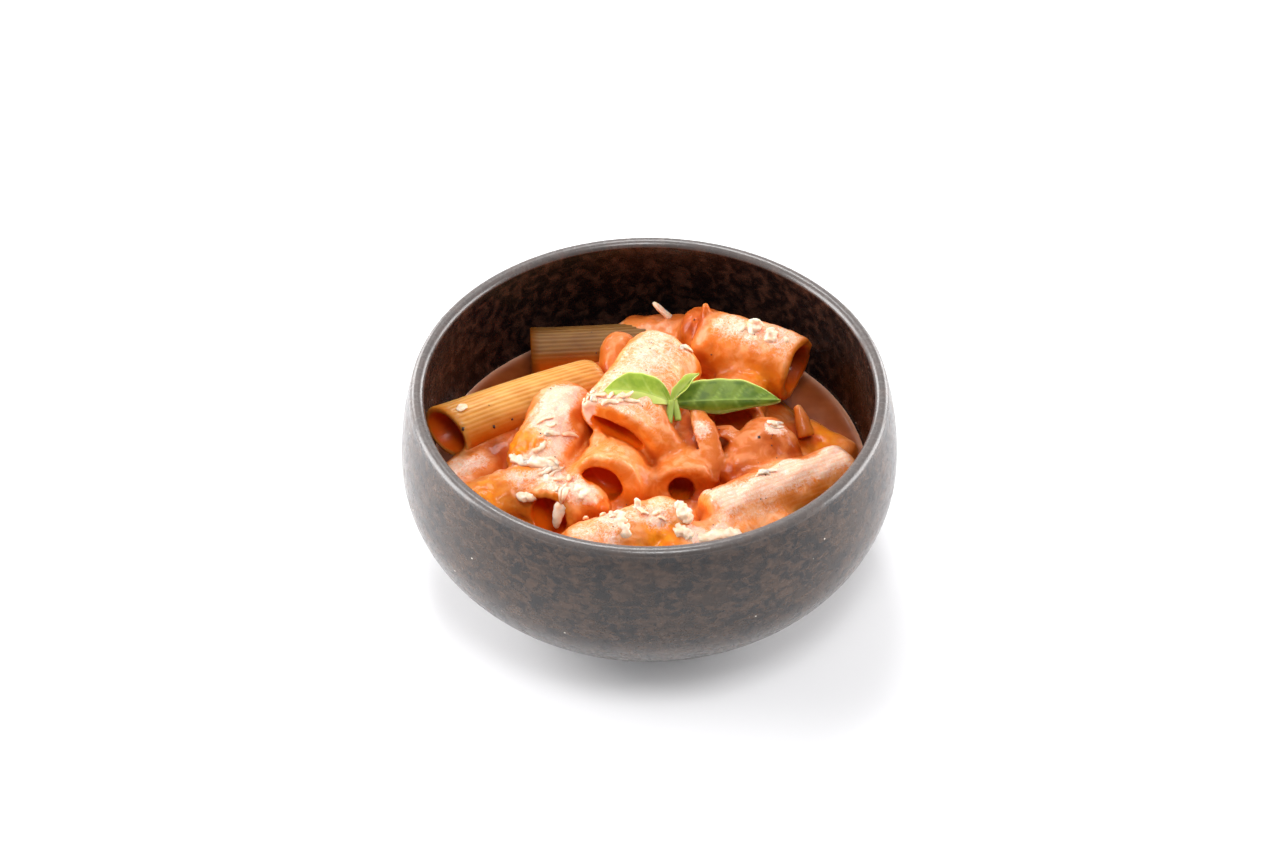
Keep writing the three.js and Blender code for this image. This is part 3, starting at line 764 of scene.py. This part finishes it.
def fill_heap(field):
    """The core, the coated noodles and the torn strips, with fillets of sauce between them."""
    noodle_reach, torn_reach, gob_reach = 18, 8, 5  # how far out of each its distances are worked out
    _, points = field.part(field.low, field.low + field.cell * np.array(field.shape))
    from_middle = radius_from_axis(points - CORE_CENTRE)
    edge, height = np.array(CORE_TOP).T
    sloping = 0.85  # the distance to the sloping top, as a share of the height above it
    over_core = sloping * (points[..., 2] - np.interp(from_middle, edge, height))
    field.values[:] = rounded(over_core, from_middle - edge[-1], CORE_ROUNDING)
    for noodle in NOODLES:
        slices, near = field.round_about(noodle.ends, noodle_reach)
        coated = noodle.outside(waved(noodle, near)) - noodle.coat
        field.values[slices] = smooth_min(field.values[slices], coated, NOODLE_FILLET)
    for thickness, stations in TORN_PIECES:
        slices, near = field.round_about(np.array(stations)[:, :3], torn_reach)
        coated = outside_band(thickness, stations, near) - TORN_COAT
        field.values[slices] = smooth_min(field.values[slices], coated, TORN_FILLET)
    for x, y, z, radius in GOBS:
        slices, near = field.round_about([(x, y, z)], radius + gob_reach)
        gob = np.linalg.norm(near - (x, y, z), axis=-1) - radius
        field.values[slices] = smooth_min(field.values[slices], gob, GOB_FILLET)
    for noodle in NOODLES:
        if noodle.opens:
            slices, near = field.round_about(noodle.ends, noodle_reach)
            bore = noodle.outside_bore(waved(noodle, near))
            field.values[slices] = -smooth_min(-field.values[slices], bore, MOUTH_EDGE)
    beside_wall = radius_from_axis(points) - oval_radius(INNER, points[..., 2]) + COAT_GAP
    field.values[:] = np.maximum(field.values, beside_wall)


def point_normals(points, quads):
    """Normals at the points of a quad mesh."""
    corners = points[quads]
    faces = np.cross(corners[:, 2] - corners[:, 0], corners[:, 3] - corners[:, 1])
    normals = np.zeros_like(points)
    for corner in range(4):
        np.add.at(normals, quads[:, corner], faces)
    return normals / np.maximum(np.linalg.norm(normals, axis=1, keepdims=True), 1e-9)


def clump_share(points):
    """1 in the middle of a clump of cheese, falling to 0 round it."""
    share = np.zeros(len(points))
    for x, y, spread_x, spread_y, count, _ in CLUMPS:
        away = ((points[:, 0] - x) / spread_x) ** 2 + ((points[:, 1] - y) / spread_y) ** 2
        share = np.maximum(share, min(count / 6, 1) * np.exp(-0.3 * away))
    return share


def patch_share(points, patches):
    """1 in the middle of each patch, falling to 0 at its edge."""
    share = np.zeros(len(points))
    for x, y, z, reach, strength in patches:
        away = np.linalg.norm(points - (x, y, z), axis=-1) / reach
        share = np.maximum(share, strength * np.clip(1.5 - 1.5 * away, 0, 1))
    return share


def on_noodles(points):
    """How far round and along their nearest noodle points lie, in millimetres, each noodle starting far from
    the last, and four of the noodles' shares there, mixed by how near each noodle is."""
    mixed_over, apart = 1.2, 60
    distances = np.array([noodle.outside(points) for noodle in NOODLES])
    nearest = distances.argmin(0)
    around, along = np.zeros((2, len(points)))
    for number, noodle in enumerate(NOODLES):
        here = nearest == number
        along[here], across, above = noodle.where(points[here])
        around[here] = np.arctan2(across, above) * noodle.width / 2 + apart * number
    weights = np.exp(-np.clip(distances, -3, 20) / mixed_over)
    weights /= weights.sum(0)
    shares = [(noodle.cream_and_light, noodle.lumps, noodle.ribs, noodle.dark) for noodle in NOODLES]
    return around, along, *np.transpose(shares) @ weights


def coat_surface(field):
    """Points, quads and normals of the sauce's surface, turned outward and open at its lower edge."""
    points, quads = field.surface()
    quads = quads[points[quads][..., 2].max(1) > field.low[2] + 1.0]
    used, quads = np.unique(quads, return_inverse=True)
    points, quads = points[used], quads.reshape(-1, 4)
    normals = point_normals(points, quads)
    if np.mean(field.at(points + 0.5 * normals) - field.at(points)) < 0:
        quads, normals = quads[:, ::-1], -normals
    return points, quads, normals


def sauce_coat(field):
    """The sauce over the heap, down to below the pool, closed below by the core's plain underside."""
    shell_sides, look_out = 64, 4
    points, quads, normals = coat_surface(field)
    around, along, cream_and_light, lump, ribs, dark = on_noodles(points)
    thin = patch_share(points, THIN_PATCHES)
    # Browner sauce and painted shade, from the pieces and the patches.
    dark = np.maximum(dark, patch_share(points, BROWN_AND_SHADE_PATCHES))
    cheesy = clump_share(points)
    open_air = np.clip(field.at(points + look_out * normals) / look_out, 0, 1)
    bores = [noodle.outside_bore(uneven(points)) for noodle in NOODLES if noodle.opens]
    within = np.clip(1.2 - np.min(bores, 0) / 0.9, 0, 1)
    swell = (0.8 * np.maximum(lump, cheesy) + 0.06) * (1 - within) * np.clip(open_air * 1.6, 0, 1)
    points = points + normals * (swell * (bumps(points, 3.2, 1) + 0.6 * bumps(points, 1.6, 2)))[:, None]
    points = points + normals * (0.25 * (1 - within) * bumps(points, 7, 3))[:, None]
    # How much a point faces up: tops that face up are painted paler as light, and sides deeper orange as
    # shade.
    top = np.clip(normals[:, 2] * 1.4 - 0.4, 0, 1)
    # Paler on the tops and in the pale patches: partly melted cheese, partly painted light and sheen; less
    # where closed in, as painted shade.
    cream_and_light = np.maximum(cream_and_light * top * (1 - dark), patch_share(points, PALE_AND_LIT_PATCHES)) * (1 - thin)
    cream_and_light = np.maximum(cream_and_light, cheesy) * open_air * (1 - within)
    # top paints light on the tops, and depth paints shade, deeper red orange where little open air is round
    # a point.
    shares = dict(
        top=top * open_air, thin=thin * (1 - within), dark=dark, cream_and_light=cream_and_light, within=within, ribbed=ribs**2,
        around=around, along=along, depth=np.clip(1.1 - open_air * 1.6, 0, 1) * 0.8,
    )
    gather = Gather()
    gather.add(points, quads, **shares)
    shell = turned_round(CORE_SHELL, shell_sides) + CORE_CENTRE
    gather.add(shell, strip_faces(len(CORE_SHELL), shell_sides), **dict.fromkeys(shares, 0.0))
    piece = gather.piece("sauce_coat", pink_sauce(), "pink_sauce")
    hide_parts("pasta_heap")
    return piece


def noodle_rings(length, depth):
    """(distance from the mouth, scale, inset, stained) of each ring of a rigatoni's skin.

    They run out of the hollow, over its cut edge, along the outside and over the closed end.
    """
    hollow = [(depth, 0.02), (depth, 0.6), (depth - 1.5, 0.93), (depth / 2, 1), (0.5, 1)]
    rings = [(place, scale, NOODLE_WALL, 1) for place, scale in hollow]
    rings += [(0, 1, NOODLE_WALL * 0.8, 0.4), (0, 1, NOODLE_WALL * 0.2, 0.2), (0.4, 1, 0, 0.1)]
    rings += [(place, 1, 0, 0) for place in np.linspace(3, length - 3.5, 12)]
    rounding = [(1.6, 0.98), (-0.2, 0.9), (-1.3, 0.74), (-1.8, 0.5), (-2.0, 0.02)]
    return rings + [(length - place, scale, 0, 0) for place, scale in rounding]


def noodle_mesh(noodle):
    """One rigatoni's points, faces, and the shares of rib, stain and low side at each point: the ribs of the
    upper side carry a painted highlight, and the low side painted shade.
    """
    turn = turns_round(RIBS * POINTS_PER_RIB)
    rib = 0.5 + 0.5 * np.cos(RIBS * turn)
    carved = RIB_DEPTH * (1 - rib) * np.clip(np.sin(turn) * 1.5 - 0.2, 0.1, 1)
    rings = noodle_rings(noodle.length, noodle.hollow)
    points = []
    for place, scale, inset, _ in rings:
        half_width, half_height = noodle.half_sizes(place)
        middle = noodle.start + noodle.along * place + UP * noodle.bend_at(place)
        across = (half_width - inset - carved) * scale * np.cos(turn)
        above = (half_height - inset - carved) * scale * np.sin(turn)
        along = noodle.slant * math.exp(-place / SLANT_LENGTH) * np.cos(turn)
        spokes = np.outer(across, noodle.across) + np.outer(above, noodle.above)
        points.append(middle + spokes + np.outer(along, noodle.along))
    stained = np.array([stain for *_, stain in rings])
    # The ribs of the upper side carry a painted highlight, weaker on the browner pieces.
    rib = rib * np.clip(np.sin(turn) * 1.6 - 0.3, 0, 1) * (1 - 0.7 * noodle.tan)
    # The lower side is painted deeper orange as shade.
    low = np.clip(0.95 - np.sin(turn) * 1.3, 0, 1)
    rib, low = [np.outer(stained == 0, share).ravel() for share in (rib, low)]
    shares = dict(rib=rib, low=low, stained=np.repeat(stained, len(turn)))
    return np.concatenate(points), strip_faces(len(rings), len(turn))[:, ::-1], shares


def rigatoni():
    """The two pieces with no sauce on them, which open at their near ends."""
    gather = Gather()
    for noodle in NOODLES:
        if not noodle.bare:
            continue
        points, faces, shares = noodle_mesh(noodle)
        room = oval_radius(INNER, points[:, 2]) - PASTA_GAP
        points[:, :2] *= np.minimum(room / np.maximum(radius_from_axis(points), 1e-6), 1)[:, None]
        gather.add(points, faces, tan=noodle.tan, **shares)
    piece = gather.piece("rigatoni", pasta(), "coated_pasta")
    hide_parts("pasta_heap")


def sauce_pool(field):
    """Pooled sauce: level, raised a little at the wall and against the heap, closed below."""
    around, rings = 256, 70
    wall = oval_radius(INNER, SAUCE_LEVEL) - POOL_GAP
    radius = wall * np.sin(np.linspace(0, math.pi / 2, rings)) + 0.01
    points = turned_round([*zip(radius, [SAUCE_LEVEL] * rings), *POOL_UNDERSIDE], around).reshape(-1, 3)
    top = points[:rings * around]
    from_wall = wall - radius_from_axis(top)
    from_heap = np.clip(field.at(top), 0, 20)
    top[:, 2] += 0.9 * np.exp(-from_wall / 0.8) + 0.7 * np.exp(-from_heap / 1.1)
    top[:, 2] += 0.15 * bumps(top, 9, 5) - 0.15
    # Paler at the wall: partly a film of sauce there, partly a painted highlight.
    edge = np.zeros(len(points))
    edge[:len(top)] = np.exp(-from_wall / 0.7)
    faces = strip_faces(len(points) // around, around)[:, ::-1]
    piece = make_piece("sauce_pool", points, faces, pooled_sauce(), "pink_sauce", edge=edge)
    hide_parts("sauce")


def tree_of(*pieces):
    """A search tree over pieces, in millimetres."""
    points, faces = [], []
    for piece in pieces:
        start = len(points)
        points += [vertex.co / MM for vertex in piece.data.vertices]
        faces += [[start + corner for corner in face.vertices] for face in piece.data.polygons]
    return BVHTree.FromPolygons(points, faces)


def rest_on(tree, x, y):
    """The highest point of the surface below x, y and its normal, or None."""
    spot, normal, _, _ = tree.ray_cast(Vector((x, y, 150)), Vector((0, 0, -1)))
    return (np.array(spot), np.array(normal if normal.z > 0 else -normal)) if spot else None


def shred(tree, random, x, y, heading, length, width):
    """One melted shred that follows the surface below it, or None where that is too steep."""
    bend = random.uniform(-0.9, 0.9)
    along = np.linspace(-0.5, 0.5, SHRED_STEPS) * length
    turned = heading + bend * along / length
    spots = zip(x + along * np.cos(turned), y + along * np.sin(turned))
    found = [rest_on(tree, *spot) for spot in spots]
    if None in found:
        return None
    middles, normals = [np.array(column) for column in zip(*found)]
    if np.abs(np.diff(middles[:, 2])).max() > STEEPEST or middles[:, 2].min() < SAUCE_LEVEL + 2:
        return None
    middles[1:-1, 2] = (middles[:-2, 2] + 2 * middles[1:-1, 2] + middles[2:, 2]) / 4
    taper = np.array([0.5, 0.85, 1, 1.05, 1, 0.8, 0.45]) * random.uniform(0.8, 1.2, SHRED_STEPS)
    rise = random.uniform(0, 0.8)
    turn = turns_round(SHRED_SIDES)
    rings = []
    for step, middle in enumerate(middles):
        side, lift = side_and_lift(middles, step, normals[step])
        half = width / 2 * taper[step] * random.uniform(0.85, 1.15, (SHRED_SIDES, 1))
        ring = half * (np.outer(np.cos(turn), side) + np.outer(0.8 * np.sin(turn), lift))
        rings.append(middle + ring + rise * lift)
    # Orange on the lower sides, and all round where a shred lies on a slope: partly sauce stain, partly
    # painted shade.
    stain = 1 - np.outer(np.clip(normals[:, 2] * 1.6 - 0.6, 0, 1), np.sin(turn) * 1.4)
    return np.concatenate(rings), np.clip(stain, 0, 1).ravel()


def flat_strip(thickness, stations, lumpy):
    """A closed strip with rounded edges and ends, and how orange each point of it is: partly sauce stain,
    partly painted shade on its underside.
    """
    steps, around, end_steps = 24, 20, 4
    path = resampled(stations, steps)
    from_end = np.minimum(np.arange(steps), np.arange(steps)[::-1])
    rounding = np.sqrt(1 - (1 - np.clip(from_end / end_steps, 0.02, 1)) ** 2)
    turn = turns_round(around)
    rings = []
    for step, (*middle, width) in enumerate(path):
        side, lift = side_and_lift(path[:, :3], step)
        reach = np.outer(width / 2 * np.cos(turn), side) + np.outer(thickness / 2 * np.sin(turn), lift)
        knobs = bumps(middle + reach, 1.6, 7) + 0.6 * bumps(middle + reach, 0.8, 8)
        rings.append(middle + rounding[step] * reach * (1 + lumpy * knobs)[:, None])
    # Orange underneath: partly sauce stain, partly painted shade.
    stain = np.clip(0.4 - 0.9 * np.sin(turn), 0, 1)
    return np.concatenate(rings), strip_faces(steps, around)[:, ::-1], np.tile(stain, steps)


def cheese_shreds(tree):
    """Thin shreds scattered in clumps, flat shreds, and thicker half melted lumps."""
    random = np.random.default_rng(11)
    gather = Gather()
    first, last = list(range(SHRED_SIDES)), (SHRED_STEPS - 1) * SHRED_SIDES
    faces = strip_faces(SHRED_STEPS, SHRED_SIDES)[:, ::-1].tolist()
    faces += [first, [last + corner for corner in first[::-1]]]
    for x, y, spread_x, spread_y, count, heading in CLUMPS:
        for _ in range(count):
            turn = math.radians(heading + random.normal(0, 22))
            spot = x + random.normal(0, spread_x * 0.6), y + random.normal(0, spread_y * 0.6)
            made = shred(tree, random, *spot, turn, random.uniform(2, 6), random.uniform(1.0, 2.1))
            if made is not None:
                gather.add(made[0], faces, edge=made[1])
    for lumpy, strips in ((0.2, FLAT_SHREDS), (0.5, CHEESE_LUMPS)):
        for thickness, stations in strips:
            points, quads, stain = flat_strip(thickness, stations, lumpy)
            gather.add(points, quads, edge=stain)
    piece = gather.piece("cheese_shreds", melted_cheese(), "pink_sauce")
    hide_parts("pasta_heap")


def leaf(tip, rise, left, right, fresh):
    """A leaf's upper and lower faces as one closed lattice, and its stored shares."""
    vein_spacing, vein_width, midrib_width, thickness = 6.5, 0.07, 0.05, 0.5
    base, tip = np.array(SPRIG_JOINT, float), np.array(tip, float)
    length = np.linalg.norm(tip - base)
    along = unit(tip - base)
    across = unit(np.cross(along, UP))
    above = np.cross(across, along)
    place = np.linspace(0, 1, 40)[:, None]
    side = np.linspace(-1, 1, 25)
    part = np.abs(side)
    outline = np.maximum(0.02, np.sin(math.pi * place**0.8) ** 0.75)
    outline = outline * (1 + 0.02 * np.sin(place * 31) * (place > 0.3))
    width, slope = [np.where(side < 0, *halves) for halves in zip(right, left)]
    slope = np.radians(slope) * (0.5 + 0.5 * part)
    slant = (place * length - 0.6 * part * width) / vein_spacing
    from_vein = np.abs((slant + 0.5) % 1 - 0.5)
    midrib = np.exp(-((part * outline / midrib_width) ** 2))
    vein = np.maximum(np.exp(-((from_vein / vein_width) ** 2)) * (1 - part * 0.7), midrib)
    reach = width * outline * part
    puff = 0.4 * np.cos(2 * math.pi * slant + math.pi) * part * (1 - part)
    lift = reach * np.sin(slope) + 0.5 * np.sin(place * 11) * part**2 + puff
    middle = base + along * place * length + UP * 4 * rise * place * (1 - place)
    aside = reach * np.cos(slope) * np.sign(side)
    upper = middle[:, None] - across * aside[..., None] + above * lift[..., None]
    ring = np.concatenate([upper, (upper - above * thickness)[:, ::-1]], 1)
    narrow_left = 0.7 * (side > 0) * (left[0] < 5)
    pale = np.clip(np.maximum(0, (part - 0.9) / 0.1) + narrow_left, 0, 1) + 0 * place
    vein, pale = [np.concatenate([share, share[:, ::-1]], 1).ravel() for share in (vein, pale)]
    faces = strip_faces(len(place), 2 * len(side))[:, ::-1]
    return ring.reshape(-1, 3), faces, dict(vein=vein, pale=pale, fresh=fresh)


def stem(stations):
    """A thin stem through (x, y, z, thickness) stations."""
    steps, around = 9, 12
    path = resampled(stations, steps)
    turn = turns_round(around)
    rings = []
    for step, (*middle, thickness) in enumerate(path):
        side, lift = side_and_lift(path[:, :3], step)
        half = thickness / 2 * (1 + 0.05 * np.cos(4 * turn))[:, None]
        rings.append(middle + half * (np.outer(np.cos(turn), side) + np.outer(np.sin(turn), lift)))
    points = np.concatenate([path[:1, :3], *rings, path[-1:, :3]])
    faces = (1 + strip_faces(steps, around)[:, ::-1]).tolist()
    last = len(points) - 1
    for here in range(around):
        after = (here + 1) % around
        faces += [[0, 1 + here, 1 + after], [last, last - around + after, last - around + here]]
    return points, faces


def basil():
    gather = Gather()
    for shape in LEAVES:
        points, faces, shares = leaf(**shape)
        gather.add(points, faces, **shares)
    for stations in STEMS:
        gather.add(*stem(stations), vein=0.5, pale=0.2, fresh=0.7)
    piece = gather.piece("basil", basil_leaf(), "basil")
    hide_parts("basil_sprig")


def pepper_specks(tree):
    """Coarse ground pepper on the pasta: a few specks that stand out and a fine scatter."""
    random = np.random.default_rng(5)
    single = [(-58.2, -7.7, 1.1), (-48.7, -4.1, 1.0), (-43.1, -0.9, 0.7), (34, -14, 1.0)]
    scattered = [(*random.uniform((-55, -55), (55, 50)), random.uniform(0.25, 0.5)) for _ in range(60)]
    faces = [(0, 1, 3, 2), (4, 6, 7, 5), (0, 4, 5, 1), (2, 3, 7, 6), (0, 2, 6, 4), (1, 5, 7, 3)]
    corners = np.array(list(itertools.product((-1, 1), repeat=3)), float)
    gather = Gather()
    for x, y, size in single + scattered:
        found = rest_on(tree, x, y)
        if found is None or found[0][2] < SAUCE_LEVEL + 3:
            continue
        middle = found[0] + 0.1 * size * found[1]
        gather.add(middle + corners * random.uniform(0.5, 1.0, (8, 3)) * size * 0.5, faces)
    gather.piece("pepper_specks", black_pepper(), "pink_sauce")


def floor():
    """A plain pale floor, wide enough to fill the view."""
    mesh = bpy.data.meshes.new("floor")
    mesh.from_pydata([(-6, -6, 0), (6, -6, 0), (6, 6, 0), (-6, 6, 0)], [], [(0, 1, 2, 3)])
    f = Finish("floor")
    mesh.materials.append(f.done(f.mix(f.grain(60, 2), (243, 243, 245), (246, 246, 248)), 0.6))
    plane = placed("floor", mesh)


def surroundings():
    """White all round, brightest low down at the back."""
    f = Finish("studio", bpy.data.worlds)
    height, depth = [f.node("SeparateXYZ", axis, {0: f.place("Generated")}) for axis in "ZY"]
    strength = f.product(f.step(height, 0.08, 0.5, 1.05, 0.2), f.step(depth, -0.9, 0.1, 0.4, 1.0))
    background = f.tree.nodes["Background"]
    f.put(background.inputs["Color"], (1, 1, 1, 1))
    f.put(background.inputs["Strength"], strength)
    bpy.context.scene.world = f.owner


def studio():
    """White surroundings and square soft lights turned to the bowl: one above and behind, two at the sides,
    two low at the back, and one high in front."""
    surroundings()
    for name, place, size, power in LIGHTS:
        data = bpy.data.lights.new(name, "AREA")
        data.size, data.energy = size, power
        light = placed(name, data)
        light.location = place
        light.rotation_euler = (Vector((0, 0, 0.05)) - light.location).to_track_quat("-Z", "Y").to_euler()
    bpy.context.scene.view_settings.view_transform = "Standard"


def camera():
    """The photograph's view: down on the bowl from the front, with the rim's centre a little off centre."""
    elevation, distance, lens, sensor = math.radians(41.45), 0.941, 85, 36
    image_width, image_height = 1280, 853
    rim_x, rim_y = 649.3, 384.9  # the rim's centre in the image, in pixels
    data = bpy.data.cameras.new("camera")
    data.lens, data.sensor_width = lens, sensor
    seen_from = placed("camera", data)
    back = Vector((0, -math.cos(elevation), math.sin(elevation)))
    up = Vector((0, math.sin(elevation), math.cos(elevation)))
    per_pixel = sensor / lens / image_width
    right_by = (image_width / 2 - rim_x) * per_pixel
    down_by = (image_height / 2 - rim_y) * per_pixel
    aim = Vector((right_by, 0, 0)) - back - up * down_by
    seen_from.location = Vector((0, 0, RIM_HEIGHT * MM)) + back * distance
    seen_from.rotation_euler = aim.to_track_quat("-Z", "Y").to_euler()
    bpy.context.scene.camera = seen_from


camera()
bowl()
heap_field = Field()
fill_heap(heap_field)
coat = sauce_coat(heap_field)
rigatoni()
sauce_pool(heap_field)
surface = tree_of(coat, bpy.data.objects["rigatoni"])
cheese_shreds(surface)
pepper_specks(surface)
basil()
floor()
studio()
